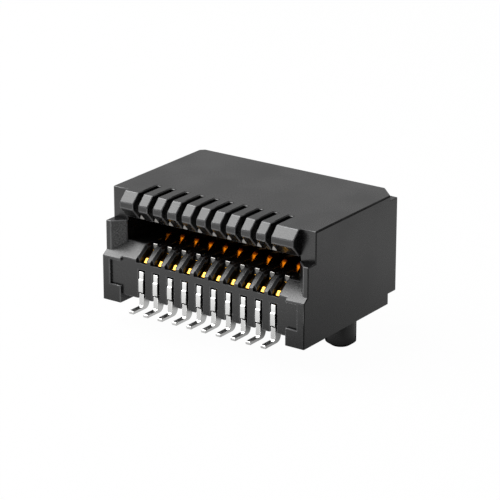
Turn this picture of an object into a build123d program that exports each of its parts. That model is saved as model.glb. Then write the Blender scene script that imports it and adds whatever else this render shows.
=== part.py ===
from build123d import *
import os

# Small board connector for a pluggable optical module: a black moulded housing with a card slot,
# ten contacts under the card and ten above it.
# Millimetres. X runs along the card slot, Y from the mating face to the rear, Z up from the board.
# The origin is on the board, midway between the two guide pegs.
# Inside the functions, depth is measured from the front of the housing, and height from the board.

# Contact field
contacts_per_row = 10
pitch = 0.80
row_stagger = 0.40            # the lower row stands this far to the right of the upper row
strip_thickness = 0.25        # metal that the contacts are blanked from, standing across X
channel_clearance = 0.025     # contact to channel wall, each side
groove_clearance = 0.06       # solder leg to its open groove, all round

# Card slot
end_margin = 0.90             # outermost contact's centre to the end of the slot
card_slot_height = 1.18
card_slot_depth = 5.60
card_floor = 2.84             # slot floor above the board
lead_in_depth = 0.91          # slope below the mouth, front to back
lead_in_rise = 0.615
contact_rise = 0.36           # how far each contact's crown stands into the slot

# Housing
cheek_width = 0.80            # solid ends beside the slot
rear_wall = 2.10              # behind the slot
roof_height = 1.255           # slot ceiling to top face
standoff = 0.11               # soles of the rails above the board
cheek_front = 0.29
cheek_lead_in = 0.53          # funnel on the inner side of each cheek, 45 degrees
ledge_drop = 0.21             # cheek ledge below the slot ceiling
pillar_front = 0.89
belly_height = 0.48           # underside between the rails, above the board
heel_height = 0.58            # underside behind the rails, above the board
rail_width = 1.00             # and of the end pads in front
rail_length = 6.87
column_setback = 0.20         # rear corner columns, from the rear face
cap_thickness = 0.23          # top plate, where it stands clear of the columns
key_corner = 0.80             # cut corner of the top plate that shows which way round it goes
plain_corner = 0.20

# Front panel between the end pads
panel_recess = 0.14
pad_border = 0.40
window_bottom = 0.93
window_top = 2.09

# Comb of teeth over the mouth
tooth_front = 0.295
tooth_chamfer = 0.43
tooth_face_height = 0.29
tooth_undercut = 0.48
top_slot_end = 2.07
roof_thickness = 0.375        # over the channels of the upper contacts

# Pockets in the lower lead-in, one for each lower contact
pocket_width = 0.61
pocket_flank = 0.12           # its sides slope in by this, at 45 degrees, to the contact's channel
pocket_rear = 1.30
pocket_floor = 1.86
lip_thickness = 0.15
lip_drop = 0.14

# Solder legs, the same for both rows
tail_reach = 0.66             # toe of the foot beyond the housing
foot_thickness = 0.155
leg_inset = 0.12
leg_depth = 0.44
leg_proud = 0.06              # the middle of the leg stands forward by this
leg_proud_bottom = 0.825
leg_proud_top = 1.40
step_slope = 0.04
notch_height = 0.07           # under the proud part
notch_depth = 0.07
heel_radius = 0.30
toe_radius = 0.05
instep_radius = 0.10
corner_radius = 0.04

# Lower contacts
lower_leg_top = 1.80
base_bottom = 1.05
base_height = 0.45
base_anchor = 0.40            # base beyond the slot's rear wall
riser_gap = 0.15
riser_depth = 0.45
crown_depth = 2.42
crown_radius = 0.15
crown_foot = 0.62             # start of the slope to the crown, in front of it
beam_thickness = 0.36
root_drop = 0.22
tip_gap = 0.13                # front of the tip behind the lip of its pocket
tip_drop = 0.70
tip_thickness = 0.16
step_depth = 1.12
step_height = 0.30
step_lean = 0.10              # its top stands this far behind its foot
step_radius = 0.08
nose_depth = 0.20             # steep end of the tip that meets the card first
nose_rise = 0.17
nose_radius = 0.10

# Upper contacts
bar_height = 0.45
upturned_tip_thickness = 0.18
upturned_tip_below_top = 0.215
upturned_tip_lean = 0.12      # its top stands this far behind its foot
upper_crown_lead = 0.14       # the upper crown stands this far in front of the lower one
upper_crown_foot = 0.46       # start of the slope to the upper crown, in front of it

# Guide pegs
peg_from_front = 4.02
peg_diameter = 1.40
peg_flat_width = 0.90         # the left peg is flattened to this across X
peg_length = 1.045            # below the board
peg_chamfer_height = 0.18
peg_chamfer = 0.25
peg_pad_border = 0.12         # sole of the rail, where it widens round the foot of each peg

# Worked out from the above
row_span = (contacts_per_row - 1) * pitch
first_lower_x = (row_stagger - row_span) / 2
lower_xs = [first_lower_x + index * pitch for index in range(contacts_per_row)]
upper_xs = [x - row_stagger for x in lower_xs]
slot_half = (row_span + row_stagger) / 2 + end_margin
body_half = slot_half + cheek_width
body_depth = card_slot_depth + rear_wall
card_ceiling = card_floor + card_slot_height
body_top = card_ceiling + roof_height
sill_height = card_floor - lead_in_rise
channel_roof = body_top - roof_thickness
cap_bottom = body_top - cap_thickness
ledge_height = card_ceiling - ledge_drop
pocket_front = panel_recess + lip_thickness
channel_half = strip_thickness / 2 + channel_clearance
groove_half = strip_thickness / 2 + groove_clearance
tooth_root = tooth_front + tooth_undercut
leg_back = leg_inset + leg_depth
peg_radius = peg_diameter / 2
peg_x = body_half - peg_radius
beyond = 1.0                  # how far a cutting block runs past an open side


def block(x_from, x_to, depth_from, depth_to, bottom, top):
    """Straight-sided block between two planes on each axis."""
    size = (x_to - x_from, depth_to - depth_from, top - bottom)
    return Pos(x_from, depth_from, bottom) * Box(*size, align=(Align.MIN, Align.MIN, Align.MIN))


def prism(outline, x_from, x_to):
    """Solid of an outline of (depth, height) points, from one X to another."""
    edge = Polyline(*[(x_from, depth, height) for depth, height in outline], close=True)
    return extrude(make_face(edge), amount=x_to - x_from, dir=(1, 0, 0))


def sill_at(depth):
    """Height of the lower lead-in slope at a depth."""
    return sill_height + lead_in_rise * depth / lead_in_depth


def body():
    """Outer shape: rails with a pad round each peg, cheeks, pillars, and cap with its cut corner."""
    side = [
        (0, standoff),
        (rail_length, standoff),
        (rail_length, heel_height),
        (body_depth, heel_height),
        (body_depth, body_top),
        (pillar_front, body_top),
        (pillar_front, ledge_height),
        (cheek_front, ledge_height),
        (cheek_front, sill_at(cheek_front)),
        (0, sill_height),
    ]
    shape = prism(side, -body_half, body_half)
    rail_inner = body_half - rail_width
    shape -= block(-rail_inner, rail_inner, -beyond, body_depth + beyond, 0, belly_height)
    shape += block(-rail_inner, rail_inner, rail_length - beyond, body_depth, belly_height, heel_height)
    pad_reach = peg_radius + peg_pad_border
    for inner, outer in ((peg_x - pad_reach, body_half), (-body_half, pad_reach - peg_x)):
        pad_front = peg_from_front - pad_reach
        pad_back = peg_from_front + pad_reach
        shape += block(inner, outer, pad_front, pad_back, standoff, belly_height)
    column_back = body_depth - column_setback
    for inner, outer in ((slot_half, body_half + beyond), (-body_half - beyond, -slot_half)):
        shape -= block(inner, outer, column_back, body_depth + beyond, 0, cap_bottom)
    for side_sign, cut in ((1, key_corner), (-1, plain_corner)):
        corner_x = side_sign * body_half
        corner = Polyline(
            (corner_x - side_sign * cut, body_depth, cap_bottom),
            (corner_x, body_depth - cut, cap_bottom),
            (corner_x + side_sign * beyond, body_depth - cut, cap_bottom),
            (corner_x + side_sign * beyond, body_depth + beyond, cap_bottom),
            (corner_x - side_sign * cut, body_depth + beyond, cap_bottom),
            close=True,
        )
        shape -= extrude(make_face(corner), amount=cap_thickness + beyond, dir=(0, 0, 1))
    return shape


def front_panel():
    """What is cut away in front: the centre panel, and the window that reaches into both pads."""
    panel_half = body_half - rail_width
    window_half = body_half - pad_border
    return [
        block(-panel_half, panel_half, -beyond, panel_recess, 0, card_floor),
        block(-window_half, window_half, -beyond, panel_recess, window_bottom, window_top),
    ]


def mouth():
    """Card slot, and the funnel between the cheeks above the lower slope."""
    slot = block(-slot_half, slot_half, -beyond, card_slot_depth, card_floor, card_ceiling)
    funnel_half = slot_half + cheek_lead_in
    funnel_back = cheek_front + cheek_lead_in
    plan = Polyline(
        (-funnel_half, -beyond, 0),
        (funnel_half, -beyond, 0),
        (funnel_half, cheek_front, 0),
        (slot_half, funnel_back, 0),
        (slot_half, lead_in_depth, 0),
        (-slot_half, lead_in_depth, 0),
        (-slot_half, funnel_back, 0),
        (-funnel_half, cheek_front, 0),
        close=True,
    )
    above_slope = [
        (-beyond, sill_at(-beyond)),
        (lead_in_depth, card_floor),
        (lead_in_depth, ledge_height),
        (-beyond, ledge_height),
    ]
    funnel = extrude(make_face(plan), amount=body_top, dir=(0, 0, 1))
    return [slot, funnel & prism(above_slope, -body_half, body_half)]


def comb():
    """Row of teeth over the mouth, before the slots between them are cut."""
    outline = [
        (pillar_front, body_top),
        (tooth_front + tooth_chamfer, body_top),
        (tooth_front, body_top - tooth_chamfer),
        (tooth_front, body_top - tooth_chamfer - tooth_face_height),
        (tooth_root, card_ceiling),
        (pillar_front, card_ceiling),
    ]
    return prism(outline, -slot_half, slot_half)


def pocket_flanks(x):
    """Sloping sides of a pocket, along the lead-in and then along the flat behind it."""
    top_half = pocket_width / 2
    foot_half = top_half - pocket_flank
    parts = []
    for start, way, length in (
        (pocket_front, (0, lead_in_depth, lead_in_rise), lead_in_depth - pocket_front),
        (lead_in_depth, (0, 1, 0), pocket_rear - lead_in_depth),
    ):
        top = sill_at(start)
        edge = Polyline(
            (x - foot_half, start, top - pocket_flank),
            (x + foot_half, start, top - pocket_flank),
            (x + top_half, start, top),
            (x + top_half, start, top + pocket_flank),
            (x - top_half, start, top + pocket_flank),
            (x - top_half, start, top),
            close=True,
        )
        reach = length * Vector(*way).length / way[1]
        parts.append(extrude(make_face(edge), amount=reach, dir=way))
    return parts


def lower_channel(x):
    """What is cut away for one lower contact: pocket, lip, leg groove, and the channel behind."""
    groove_back = leg_back + groove_clearance
    lip = (x - pocket_width / 2, x + pocket_width / 2)
    pocket = (lip[0] + pocket_flank, lip[1] - pocket_flank)
    groove = (x - groove_half, x + groove_half)
    channel = (x - channel_half, x + channel_half)
    lip_top = sill_at(panel_recess) - lip_drop
    anchor_back = card_slot_depth + base_anchor + channel_clearance
    anchor_top = base_bottom + base_height + channel_clearance
    return pocket_flanks(x) + [
        block(*pocket, pocket_front, pocket_rear, pocket_floor, card_floor),
        block(*lip, -beyond, pocket_front, lip_top, card_floor),
        block(*groove, -beyond, groove_back, 0, lower_leg_top + groove_clearance),
        block(*channel, pocket_front, card_slot_depth, base_bottom, card_floor),
        block(*channel, card_slot_depth, anchor_back, base_bottom, anchor_top),
    ]


def upper_channel(x):
    """What is cut away for one upper contact: slot through the roof, channel, rear groove."""
    groove_front = body_depth - leg_back - groove_clearance
    channel = (x - channel_half, x + channel_half)
    bar_bottom = channel_roof - bar_height - channel_clearance
    return [
        block(*channel, -beyond, top_slot_end, card_floor, body_top + beyond),
        block(*channel, top_slot_end, card_slot_depth, card_ceiling, channel_roof),
        block(*channel, card_slot_depth, body_depth + beyond, bar_bottom, channel_roof),
        block(x - groove_half, x + groove_half, groove_front, body_depth + beyond, 0, channel_roof),
    ]


def peg(x, half_width):
    """Guide peg with a chamfered end, flattened across X to the given half width."""
    height = peg_length + heel_height
    cylinder = Cylinder(peg_radius, height, align=(Align.CENTER, Align.CENTER, Align.MIN))
    tip = Cone(
        peg_radius - peg_chamfer,
        peg_radius,
        peg_chamfer_height,
        align=(Align.CENTER, Align.CENTER, Align.MIN),
    )
    shape = tip + Pos(0, 0, peg_chamfer_height) * cylinder
    shape &= block(-half_width, half_width, -peg_radius, peg_radius, 0, height)
    return Pos(x, peg_from_front, -peg_length) * shape


def housing():
    """The moulded housing, all one piece."""
    shape = body()
    shape -= mouth()
    shape += comb()
    shape -= front_panel()
    cuts = []
    for x in lower_xs:
        cuts += lower_channel(x)
    for x in upper_xs:
        cuts += upper_channel(x)
    shape -= cuts
    shape += peg(peg_x, peg_radius)
    shape += peg(-peg_x, peg_flat_width / 2)
    return shape


def solder_leg(leg_top):
    """Outline of a leg, from the top of its outer side down over the instep and round to the heel.

    Depth is measured from the face of the housing that the foot stands out of.
    Each row is depth, height and corner radius.
    """
    proud = leg_inset - leg_proud
    return [
        (leg_inset, leg_top, corner_radius),
        (leg_inset, leg_proud_top + step_slope, 0),
        (proud, leg_proud_top, 0),
        (proud, leg_proud_bottom, 0),
        (leg_inset + notch_depth, leg_proud_bottom, 0),
        (leg_inset + notch_depth, leg_proud_bottom - notch_height, 0),
        (leg_inset, leg_proud_bottom - notch_height, 0),
        (leg_inset, foot_thickness, instep_radius),
        (-tail_reach, foot_thickness, toe_radius),
        (-tail_reach, 0, toe_radius),
        (leg_back, 0, heel_radius),
    ]


def lower_outline():
    """Lower contact from the side: leg, base along the bottom, riser, and beam back to the front."""
    base_top = base_bottom + base_height
    base_end = card_slot_depth + base_anchor
    riser_back = card_slot_depth - riser_gap
    riser_front = riser_back - riser_depth
    crown = card_floor + contact_rise
    tip_front = pocket_front + tip_gap
    tip_top = card_floor - tip_drop
    root_top = card_floor - root_drop
    return solder_leg(lower_leg_top) + [
        (leg_back, base_bottom, corner_radius),
        (base_end, base_bottom, corner_radius),
        (base_end, base_top, corner_radius),
        (riser_back, base_top, corner_radius),
        (riser_back, root_top, corner_radius),
        (crown_depth, crown, crown_radius),
        (crown_depth - crown_foot, card_floor, corner_radius),
        (step_depth + step_lean, card_floor, step_radius),
        (step_depth, card_floor - step_height, corner_radius),
        (tip_front + nose_depth, tip_top + nose_rise, nose_radius),
        (tip_front, tip_top, corner_radius),
        (tip_front, tip_top - tip_thickness, corner_radius),
        (step_depth, card_floor - step_height - tip_thickness, 0),
        (crown_depth, crown - beam_thickness, crown_radius),
        (riser_front, root_top - beam_thickness, corner_radius),
        (riser_front, base_top, corner_radius),
        (leg_back, base_top, corner_radius),
        (leg_back, lower_leg_top, corner_radius),
    ]


def upper_outline():
    """Upper contact from the side: leg behind, bar under the roof, and beam with an upturned tip."""
    crown = card_ceiling - contact_rise
    bar_bottom = channel_roof - bar_height
    tip_top = body_top - upturned_tip_below_top
    tip_back = tooth_root + upturned_tip_thickness
    upper_crown = crown_depth - upper_crown_lead
    bend = upper_crown - upper_crown_foot
    leg = [
        (body_depth - depth, height, radius)
        for depth, height, radius in solder_leg(channel_roof)
    ]
    return leg + [
        (body_depth - leg_back, bar_bottom, corner_radius),
        (card_slot_depth, bar_bottom, corner_radius),
        (upper_crown, crown, crown_radius),
        (bend, card_ceiling, corner_radius),
        (tooth_root, card_ceiling, corner_radius),
        (tooth_root + upturned_tip_lean, tip_top, 0),
        (tip_back + upturned_tip_lean, tip_top - upturned_tip_thickness, 0),
        (tip_back, card_ceiling + beam_thickness, corner_radius),
        (bend, card_ceiling + beam_thickness, corner_radius),
        (upper_crown, crown + beam_thickness, crown_radius),
        (card_slot_depth, channel_roof, corner_radius),
    ]


def contact(outline, x):
    """One contact, blanked from flat strip that stands across X."""
    left = x - strip_thickness / 2
    points = [(left, depth, height) for depth, height, radius in outline]
    radii = [radius for depth, height, radius in outline]
    edge = FilletPolyline(*points, radius=radii, close=True)
    return extrude(make_face(edge), amount=strip_thickness, dir=(1, 0, 0))


nodes = {"housing": housing()}
for number, x in enumerate(lower_xs, start=1):
    nodes[f"lower_contact_{number:02d}"] = contact(lower_outline(), x)
for number, x in enumerate(upper_xs, start=1):
    nodes[f"upper_contact_{number:02d}"] = contact(upper_outline(), x)

os.makedirs("parts", exist_ok=True)
for name, shape in nodes.items():
    export_step(Pos(0, -peg_from_front, 0) * shape, f"parts/{name}.step")
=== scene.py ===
import math

import bmesh
import bpy
from mathutils import Matrix, Vector


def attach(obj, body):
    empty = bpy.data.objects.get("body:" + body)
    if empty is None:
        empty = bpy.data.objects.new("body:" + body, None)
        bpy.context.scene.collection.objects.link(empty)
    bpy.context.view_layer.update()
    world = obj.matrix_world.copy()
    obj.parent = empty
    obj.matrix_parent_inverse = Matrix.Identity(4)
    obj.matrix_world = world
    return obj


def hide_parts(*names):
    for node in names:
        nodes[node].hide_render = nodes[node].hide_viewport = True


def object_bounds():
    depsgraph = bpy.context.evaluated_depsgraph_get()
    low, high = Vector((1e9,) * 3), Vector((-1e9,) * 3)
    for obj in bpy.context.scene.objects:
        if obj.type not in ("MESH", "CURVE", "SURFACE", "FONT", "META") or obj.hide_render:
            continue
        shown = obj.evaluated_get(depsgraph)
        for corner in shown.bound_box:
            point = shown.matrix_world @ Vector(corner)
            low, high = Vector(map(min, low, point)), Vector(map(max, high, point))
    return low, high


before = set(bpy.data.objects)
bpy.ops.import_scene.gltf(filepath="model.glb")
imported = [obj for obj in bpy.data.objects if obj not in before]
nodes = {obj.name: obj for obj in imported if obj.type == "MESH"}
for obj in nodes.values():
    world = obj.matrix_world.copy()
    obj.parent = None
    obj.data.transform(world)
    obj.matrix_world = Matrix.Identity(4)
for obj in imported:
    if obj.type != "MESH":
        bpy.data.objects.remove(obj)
cad_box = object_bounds()
mm = 0.001

# Housing. One piece of black glass-filled liquid crystal polymer, moulded with the comb of teeth,
# the lower ribs, the rails and the two guide pegs. The mould's spark-eroded faces leave a fine
# satin grain. Its outer edges above the soles are slightly broken, and their bevels in front carry
# a painted highlight: a paler colour that stands in for the light caught along the edges.
plastic_colour = (0.004, 0.004, 0.0042, 1)
painted_highlight_colour = (0.09, 0.09, 0.092, 1)
plastic_ior = 1.7
plastic_roughness = (0.22, 0.33)
grain_size = 0.06 * mm
grain_depth = 0.003 * mm
grain_strength = 0.6
flow_size = 2.5 * mm
mottle_span = (0.7, 1.3)
painted_highlight_depth = (-2.8 * mm, -3.1 * mm)
painted_highlight_side = (5.46 * mm, 5.43 * mm)
cap_edge_break = 0.075 * mm
housing_share = 0.6
rib_share = 0.4
sole_top = 0.12 * mm
rib_middle = Vector((0, -3.3, 2.5)) * mm
rib_reach = Vector((4.3, 0.62, 0.36)) * mm
cap_side = 5.45 * mm
cap_top = 5.2 * mm
sharp_angle = math.radians(25)
flat_angle = math.radians(0.5)
merge_gap = 1e-7
room_factor = 1.2
parallel = 0.99
bevel_segments = 3
flat_face_weight = 100


def narrow(edge, least):
    """Says whether a face beside the edge is narrower than the least width, across the edge."""
    along = (edge.verts[1].co - edge.verts[0].co).normalized()
    start = edge.verts[0].co
    for face in edge.link_faces:
        across = along.cross(face.normal)
        for other in face.edges:
            direction = (other.verts[1].co - other.verts[0].co).normalized()
            width = abs((other.verts[0].co - start).dot(across))
            ends = sorted((vert.co - start).dot(along) for vert in other.verts)
            beside = ends[0] < edge.calc_length() and ends[1] > 0
            separate = not set(edge.verts) & set(other.verts)
            if separate and beside and abs(direction.dot(along)) > parallel and width < least:
                return True
    return False


def broken_edges(node, name, edge_break, share):
    """Copy of a CAD node with its outer edges broken.

    The copy's doubles are merged and its flat triangles joined into whole faces. A rounded bevel, as
    wide as the share of the edge break, runs along every edge that turns outwards by more than the
    sharp angle, unless a face beside it has no room for that. The shading is smooth up to the sharp
    edges that are left, and the larger face sets it, so flat faces look flat and only narrow ones
    look round.
    """
    work = bmesh.new()
    work.from_mesh(node.data)
    bmesh.ops.remove_doubles(work, verts=work.verts[:], dist=merge_gap)
    bmesh.ops.dissolve_limit(work, angle_limit=flat_angle, verts=work.verts[:], edges=work.edges[:])
    weight = work.edges.layers.float.new("bevel_weight_edge")
    least = room_factor * edge_break * share
    for edge in work.edges:
        angle = edge.calc_face_angle()
        outer = angle > sharp_angle and edge.is_convex and not narrow(edge, least)
        edge[weight] = share if outer else 0.0
        edge.smooth = angle < sharp_angle
    for face in work.faces:
        face.smooth = True
    mesh = bpy.data.meshes.new(name)
    work.to_mesh(mesh)
    work.free()
    piece = bpy.data.objects.new(name, mesh)
    bpy.context.scene.collection.objects.link(piece)
    bevel = piece.modifiers.new("edge_break", "BEVEL")
    bevel.limit_method = "WEIGHT"
    bevel.width = edge_break
    bevel.segments = bevel_segments
    bevel.use_clamp_overlap = False
    normals = piece.modifiers.new("flat_faces", "WEIGHTED_NORMAL")
    normals.keep_sharp = True
    normals.weight = flat_face_weight
    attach(piece, "root")
    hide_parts(node.name)
    return piece


def feed(tree, sockets, values):
    """Fills each socket with its value, or links it where the value is another node's output."""
    for socket, value in zip(sockets, values):
        if isinstance(value, bpy.types.NodeSocket):
            tree.links.new(value, socket)
        else:
            socket.default_value = value


def shader(tree, kind, options=None, **inputs):
    """Adds a node, sets its options, and feeds the inputs that are named."""
    made = tree.nodes.new(kind)
    for option, value in (options or {}).items():
        setattr(made, option, value)
    feed(tree, [made.inputs[name.replace("_", " ")] for name in inputs], inputs.values())
    return made


def ramp(tree, value, start, end, low=0.0, high=1.0):
    """Smooth change from low to high as the value goes from start to end.

    The paired places among this script's values, such as painted_highlight_depth, are a start and an end.
    """
    made = shader(tree, "ShaderNodeMapRange", {"interpolation_type": "SMOOTHSTEP"})
    feed(tree, made.inputs, (value, start, end, low, high))
    return made.outputs["Result"]


def combine(tree, operation, *values):
    """The values joined by one operation, such as a sum."""
    made = shader(tree, "ShaderNodeMath", {"operation": operation})
    feed(tree, made.inputs, values)
    return made.outputs[0]


def product(tree, first, *others):
    """All the values multiplied."""
    total = first
    for value in others:
        total = combine(tree, "MULTIPLY", total, value)
    return total


def blend_colours(tree, share, first, second):
    """Colour that goes from first to second as the share goes from 0 to 1."""
    made = shader(tree, "ShaderNodeMix", {"data_type": "RGBA"}, Factor=share)
    feed(tree, (made.inputs[6], made.inputs[7]), (first, second))
    return made.outputs[2]


def new_material(name):
    """Empty node material, with its tree."""
    material = bpy.data.materials.new(name)
    material.use_nodes = True
    material.node_tree.nodes.clear()
    return material, material.node_tree


def moulded_plastic(name, painted_highlight):
    """Black satin plastic: fine grain in height and roughness, with faint flow marks.

    The second finish is for broken edges: a painted highlight, paler in front, but not on the outer
    right side.
    """
    material, tree = new_material(name)
    place = shader(tree, "ShaderNodeTexCoord").outputs["Object"]
    grain = shader(
        tree, "ShaderNodeTexNoise", Vector=place, Scale=1 / grain_size, Detail=3.0, Roughness=0.65
    )
    flow = shader(
        tree, "ShaderNodeTexNoise", Vector=place, Scale=1 / flow_size, Detail=2.0, Roughness=0.5
    )
    mottle = combine(tree, "ADD", grain.outputs["Fac"], flow.outputs["Fac"])
    roughness = ramp(tree, mottle, *mottle_span, *plastic_roughness)
    bump = shader(
        tree,
        "ShaderNodeBump",
        Strength=grain_strength,
        Distance=grain_depth,
        Height=grain.outputs["Fac"],
    )
    surface = shader(
        tree,
        "ShaderNodeBsdfPrincipled",
        Base_Color=plastic_colour,
        IOR=plastic_ior,
        Roughness=roughness,
        Normal=bump.outputs["Normal"],
    )
    if painted_highlight:
        # Painted highlight: the colour turns paler towards the front, and not on the outer right
        # side.
        split = shader(tree, "ShaderNodeSeparateXYZ", Vector=place)
        front = ramp(tree, split.outputs["Y"], *painted_highlight_depth)
        inner = ramp(tree, split.outputs["X"], *painted_highlight_side)
        share = product(tree, front, inner)
        tree.links.new(
            blend_colours(tree, share, plastic_colour, painted_highlight_colour), surface.inputs["Base Color"]
        )
    shader(tree, "ShaderNodeOutputMaterial", Surface=surface.outputs["BSDF"])
    return material


housing = broken_edges(
    nodes["housing"], "housing_moulding", cap_edge_break, housing_share
)
housing.data.materials.append(moulded_plastic("moulded_plastic", False))
housing.data.materials.append(moulded_plastic("painted_highlight_plastic", True))
# The bevels take the second material, which carries the painted highlight.
housing.modifiers["edge_break"].material = 1
edge_breaks = housing.data.attributes["bevel_weight_edge"].data
for edge in housing.data.edges:
    ends = [housing.data.vertices[index].co for index in edge.vertices]
    if all(end.z < sole_top for end in ends):
        edge_breaks[edge.index].value = 0.0
    if all(abs(end[axis] - rib_middle[axis]) < rib_reach[axis] for end in ends for axis in range(3)):
        edge_breaks[edge.index].value *= rib_share
    if all(end.x > cap_side and end.z > cap_top for end in ends):
        edge_breaks[edge.index].value = 1.0

# Contacts. Twenty strips blanked from rolled copper alloy, so the faces that look forward are cut
# edges. Nickel covers them all. The solder legs are tinned matt, and gold lies where the card
# rubs: on the crowns of both rows, and down the sloping front of each lower one.
tin_colour = (0.93, 0.93, 0.92, 1)
# Painted shade: the groove across each lower leg is coloured dark.
painted_groove_shade_colour = (0.02, 0.018, 0.016, 1)
lower_nickel_colour = (0.50, 0.49, 0.47, 1)
# Painted shade: the upper row sits under the teeth, and its nickel is painted darker than the lower
# row's.
upper_nickel_painted_shade_colour = (0.27, 0.262, 0.25, 1)
gold_colour = (0.96, 0.48, 0.07, 1)
contact_edge_break = 0.02 * mm
lower_tin_top = 1.8 * mm
upper_tin_top = 3.0 * mm
plating_blend = 0.04 * mm
metal_roughness = 0.08
rolling_roughness = 0.10
rolling_size = 0.02 * mm
rolling_stretch = (0.15, 1, 1)
lower_gold_bottom = (1.8 * mm, 1.9 * mm)
step_bottom = (2.54 * mm, 2.58 * mm)
step_back = (-2.2 * mm, -2.3 * mm)
crown_front = (-2.5 * mm, -2.4 * mm)
crown_back = (-0.7 * mm, -0.9 * mm)
crown_top = (4.3 * mm, 4.2 * mm)
groove_bottom = (0.74 * mm, 0.76 * mm)
groove_top = (0.84 * mm, 0.82 * mm)
groove_back = (-3.80 * mm, -3.82 * mm)


def plated_metal(name, nickel_colour, tin_below, gold_zone, groove_shade_zone):
    """Nickel that turns to tin below one height, to gold in one zone, and to painted shade in a
    groove's zone.

    A zone is a function of the tree and of the place along Y and Z. It gives its finish's share.
    """
    material, tree = new_material(name)
    place = shader(tree, "ShaderNodeTexCoord").outputs["Object"]
    split = shader(tree, "ShaderNodeSeparateXYZ", Vector=place)
    depth = split.outputs["Y"]
    height = split.outputs["Z"]
    rolling = shader(tree, "ShaderNodeMapping", Vector=place, Scale=rolling_stretch)
    lines = shader(
        tree, "ShaderNodeTexNoise", Vector=rolling.outputs[0], Scale=1 / rolling_size, Detail=2.0
    )
    tin_share = ramp(tree, height, tin_below + plating_blend, tin_below - plating_blend)
    gold_share = gold_zone(tree, depth, height)
    tinned = blend_colours(tree, tin_share, nickel_colour, tin_colour)
    gilded = blend_colours(tree, gold_share, tinned, gold_colour)
    # The groove's zone is painted dark, as painted shade in the groove.
    plated = blend_colours(tree, groove_shade_zone(tree, depth, height), gilded, painted_groove_shade_colour)
    roughness = combine(
        tree, "MULTIPLY_ADD", lines.outputs["Fac"], rolling_roughness, metal_roughness
    )
    surface = shader(
        tree,
        "ShaderNodeBsdfPrincipled",
        Metallic=1.0,
        Base_Color=plated,
        Roughness=roughness,
    )
    shader(tree, "ShaderNodeOutputMaterial", Surface=surface.outputs["BSDF"])
    return material


def lower_gold(tree, depth, height):
    """All above the leg, apart from the upright step behind the sloping front."""
    step = product(tree, ramp(tree, height, *step_bottom), ramp(tree, depth, *step_back))
    above_leg = ramp(tree, height, *lower_gold_bottom)
    return product(tree, above_leg, combine(tree, "SUBTRACT", 1.0, step))


def upper_gold(tree, depth, height):
    """Round the crown only."""
    behind_tip = ramp(tree, depth, *crown_front)
    before_beam = ramp(tree, depth, *crown_back)
    under_bar = ramp(tree, height, *crown_top)
    return product(tree, behind_tip, before_beam, under_bar)


def leg_groove_shade(tree, depth, height):
    """Painted shade in the narrow groove across the front of each lower leg, where the bend was
    scored.
    """
    above = ramp(tree, height, *groove_bottom)
    below = ramp(tree, height, *groove_top)
    in_front = ramp(tree, depth, *groove_back)
    return product(tree, above, below, in_front)


def no_groove_shade(tree, depth, height):
    """The upper row has no groove, so it gets no painted groove shade."""
    return product(tree, depth, 0.0)


lower_metal = plated_metal(
    "lower_contact_metal", lower_nickel_colour, lower_tin_top, lower_gold, leg_groove_shade
)
upper_metal = plated_metal(
    "upper_contact_metal", upper_nickel_painted_shade_colour, upper_tin_top, upper_gold, no_groove_shade
)
for name, node in list(nodes.items()):
    if name != "housing":
        strip = broken_edges(node, name + "_strip", contact_edge_break, 1.0)
        strip.data.materials.append(lower_metal if name.startswith("lower") else upper_metal)

# Floor. A white table with a faint shadow, plain to the camera. Reflections see a painted tone
# instead of the lit paper: pale in front and behind, with a painted pool of light in front, dimmer
# near the object, to the right and far off, a painted shadow under the body and round the ends of
# the two guide pegs, which stand just clear of it, and a painted glint in front to the right.
floor_gap = 0.004 * mm
floor_level = cad_box[0][2] - floor_gap
floor_half = 0.4
paper_white = (0.85, 0.85, 0.85, 1)
shadow_share = 0.02
near_tone = 1.7
edge_tone = 0.72
near_reach = (-4 * mm, -13 * mm)
side_tone = 0.70
side_start = (5.8 * mm, 6.3 * mm)
rear_tones = (0.64, 1.15)
rear_reach = (1 * mm, 12 * mm)
under_shadow_tone = 0.12
under_left = (-8 * mm, -7 * mm)
under_right = (5.9 * mm, 5.6 * mm)
under_front = (-0.8 * mm, -0.6 * mm)
under_back = (5.5 * mm, 4 * mm)
peg_shade = 0.25
peg_shade_reach = (0.8 * mm, 2.4 * mm)
peg_x = 4.8 * mm
right_shade = 0.88
right_shade_across = (-1 * mm, 8 * mm)
right_shade_depth = (1 * mm, -5 * mm)
far_tone = 0.5
far_reach = (22 * mm, 45 * mm)
glint_tone = 2.5
glint_left = (4.2 * mm, 4.8 * mm)
glint_right = (6.6 * mm, 6.0 * mm)
glint_depth = (-5.6 * mm, -6.4 * mm)


def blend_shaders(tree, share, first, second):
    """Shader that goes from first to second as the share goes from 0 to 1."""
    made = shader(tree, "ShaderNodeMixShader")
    feed(tree, made.inputs, (share, first.outputs[0], second.outputs[0]))
    return made


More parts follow.
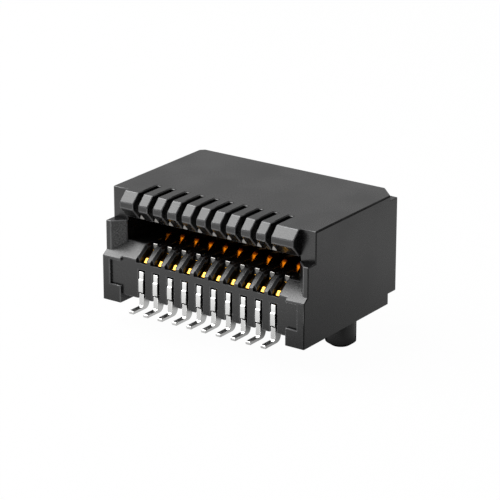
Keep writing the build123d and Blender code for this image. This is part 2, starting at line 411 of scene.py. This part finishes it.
def studio_floor():
    """One large square, with its own white for the camera and, for reflections, a graded white with
    painted shadow and glint.
    """
    mesh = bpy.data.meshes.new("floor")
    corners = [(-1, -1), (1, -1), (1, 1), (-1, 1)]
    places = [(x * floor_half, y * floor_half, floor_level) for x, y in corners]
    mesh.from_pydata(places, [], [(0, 1, 2, 3)])
    floor = bpy.data.objects.new("floor", mesh)
    bpy.context.scene.collection.objects.link(floor)
    material, tree = new_material("floor_white")
    place = shader(tree, "ShaderNodeTexCoord").outputs["Object"]
    split = shader(tree, "ShaderNodeSeparateXYZ", Vector=place)
    across = split.outputs["X"]
    depth = split.outputs["Y"]
    distance = shader(tree, "ShaderNodeVectorMath", {"operation": "LENGTH"}, Vector=place)
    front = ramp(tree, depth, *near_reach, edge_tone, near_tone)
    right = product(
        tree, ramp(tree, across, *right_shade_across), ramp(tree, depth, *right_shade_depth)
    )
    shade = combine(tree, "MULTIPLY_ADD", right, -right_shade, 1.0)
    far = ramp(tree, distance.outputs["Value"], *far_reach, 1.0, far_tone)
    beside = ramp(tree, across, *side_start, 1.0, side_tone)
    rear = ramp(tree, depth, *rear_reach, *rear_tones)
    folded = shader(tree, "ShaderNodeVectorMath", {"operation": "ABSOLUTE"}, Vector=place)
    to_peg = shader(tree, "ShaderNodeVectorMath", {"operation": "DISTANCE"})
    feed(tree, to_peg.inputs, (folded.outputs["Vector"], (peg_x, 0, -floor_level)))
    pegs = ramp(tree, to_peg.outputs["Value"], *peg_shade_reach, peg_shade, 1.0)
    # Painted shadow under the body, in what reflections see of the floor.
    shadow_cover = product(
        tree,
        ramp(tree, across, *under_left),
        ramp(tree, across, *under_right),
        ramp(tree, depth, *under_front),
        ramp(tree, depth, *under_back),
    )
    under_shadow = combine(tree, "MULTIPLY_ADD", shadow_cover, under_shadow_tone - 1, 1.0)
    # Painted glint on the floor in front to the right, for reflections.
    glint = product(
        tree,
        ramp(tree, across, *glint_left),
        ramp(tree, across, *glint_right),
        ramp(tree, depth, *glint_depth, 0.0, glint_tone),
    )
    shaded = product(tree, front, shade, far, beside, rear, pegs, under_shadow)
    tone = combine(tree, "ADD", shaded, glint)
    paper = shader(tree, "ShaderNodeBsdfDiffuse", Color=paper_white)
    seen = shader(tree, "ShaderNodeEmission", Color=(1, 1, 1, 1), Strength=1.0)
    mirrored = shader(tree, "ShaderNodeEmission", Color=(1, 1, 1, 1), Strength=tone)
    path = shader(tree, "ShaderNodeLightPath")
    seen_share = product(tree, path.outputs["Is Camera Ray"], 1 - shadow_share)
    reflected = combine(
        tree, "MAXIMUM", path.outputs["Is Glossy Ray"], path.outputs["Is Transmission Ray"]
    )
    to_camera = blend_shaders(tree, seen_share, paper, seen)
    surface = blend_shaders(tree, reflected, to_camera, mirrored)
    shader(tree, "ShaderNodeOutputMaterial", Surface=surface.outputs[0])
    mesh.materials.append(material)


studio_floor()

# Room. White to the camera. Reflections see a pale wall low behind the object, which ends to the
# right, dimmer ones low in front and up to the right, a dark ceiling, and a pale panel overhead.
# Other rays get one even, low light.
room_light = 0.3
ceiling_tone = 0.05
wall_tone = 0.55
wall_depth = (-0.1, 0.5)
wall_height = (0.55, 0.42)
wall_across = (0.45, 0.2)
right_tone = 0.4
right_across = (0.3, 0.65)
right_height = (0.3, 0.6)
overhead_tone = 1.5
overhead_height = (0.84, 0.90)
overhead_depth = (0.1, 0.0)
front_tone = 0.28
front_depth = (-0.3, -0.5)
front_height = (0.5, 0.35)


def studio_world():
    """Background whose tone for reflections is a function of their direction."""
    world = bpy.data.worlds.new("studio")
    bpy.context.scene.world = world
    world.use_nodes = True
    tree = world.node_tree
    tree.nodes.clear()
    direction = shader(tree, "ShaderNodeTexCoord").outputs["Generated"]
    split = shader(tree, "ShaderNodeSeparateXYZ", Vector=direction)
    across = split.outputs["X"]
    depth = split.outputs["Y"]
    height = split.outputs["Z"]
    wall = product(
        tree,
        ramp(tree, depth, *wall_depth),
        ramp(tree, height, *wall_height),
        ramp(tree, across, *wall_across),
    )
    right = product(tree, ramp(tree, across, *right_across), ramp(tree, height, *right_height))
    overhead = product(
        tree,
        ramp(tree, height, *overhead_height),
        ramp(tree, depth, *overhead_depth, 0.0, overhead_tone),
    )
    front = product(
        tree,
        ramp(tree, depth, *front_depth),
        ramp(tree, height, *front_height, 0.0, front_tone),
    )
    tone = combine(tree, "MULTIPLY_ADD", wall, wall_tone - ceiling_tone, ceiling_tone)
    tone = combine(tree, "MULTIPLY_ADD", right, right_tone - ceiling_tone, tone)
    tone = combine(tree, "ADD", tone, overhead)
    tone = combine(tree, "ADD", tone, front)
    path = shader(tree, "ShaderNodeLightPath")
    white = (1, 1, 1, 1)
    even = shader(tree, "ShaderNodeBackground", Color=white, Strength=room_light)
    mirrored = shader(tree, "ShaderNodeBackground", Color=white, Strength=tone)
    seen = shader(tree, "ShaderNodeBackground", Color=white, Strength=1.0)
    reflected = combine(
        tree, "MAXIMUM", path.outputs["Is Glossy Ray"], path.outputs["Is Transmission Ray"]
    )
    lit = blend_shaders(tree, reflected, even, mirrored)
    surface = blend_shaders(tree, path.outputs["Is Camera Ray"], lit, seen)
    shader(tree, "ShaderNodeOutputWorld", Surface=surface.outputs[0])


studio_world()

# Lamp. One square softbox, high in front to the left.
softbox_direction = Vector((-0.54, -0.17, 0.82)).normalized()
softbox_distance = 0.12
softbox_side = 0.11
softbox_radiance = 4.9
softbox_target = Vector((0, 0, 2.5)) * mm


def softbox():
    """Square lamp that faces the middle of the object, with its brightness given as radiance."""
    lamp = bpy.data.lights.new("softbox", "AREA")
    lamp.shape = "SQUARE"
    lamp.size = softbox_side
    lamp.energy = softbox_radiance * math.pi * softbox_side ** 2
    holder = bpy.data.objects.new("softbox", lamp)
    bpy.context.scene.collection.objects.link(holder)
    holder.matrix_world = (
        Matrix.Translation(softbox_target + softbox_direction * softbox_distance)
        @ softbox_direction.to_track_quat("Z", "Y").to_matrix().to_4x4()
    )


softbox()

# Camera, at the photograph's angle.
camera_target = Vector((-0.138, -0.02, 2.378)) * mm
camera_distance = 115.294 * mm
camera_azimuth = math.radians(34.928)
camera_elevation = math.radians(19.771)
camera_roll = math.radians(0.074)
sensor_width = 36
focal_pixels = 2541.505
picture_pixels = 500
camera_data = bpy.data.cameras.new("camera")
camera_data.sensor_width = sensor_width
camera_data.lens = focal_pixels / picture_pixels * sensor_width
camera_data.clip_start = 0.01
camera = bpy.data.objects.new("camera", camera_data)
bpy.context.scene.collection.objects.link(camera)
back = Vector((
    math.sin(camera_azimuth) * math.cos(camera_elevation),
    -math.cos(camera_azimuth) * math.cos(camera_elevation),
    math.sin(camera_elevation),
))
camera.matrix_world = (
    Matrix.Translation(camera_target + back * camera_distance)
    @ back.to_track_quat("Z", "Y").to_matrix().to_4x4()
    @ Matrix.Rotation(camera_roll, 4, "Z")
)
bpy.context.scene.camera = camera
bpy.context.scene.view_settings.view_transform = "Standard"
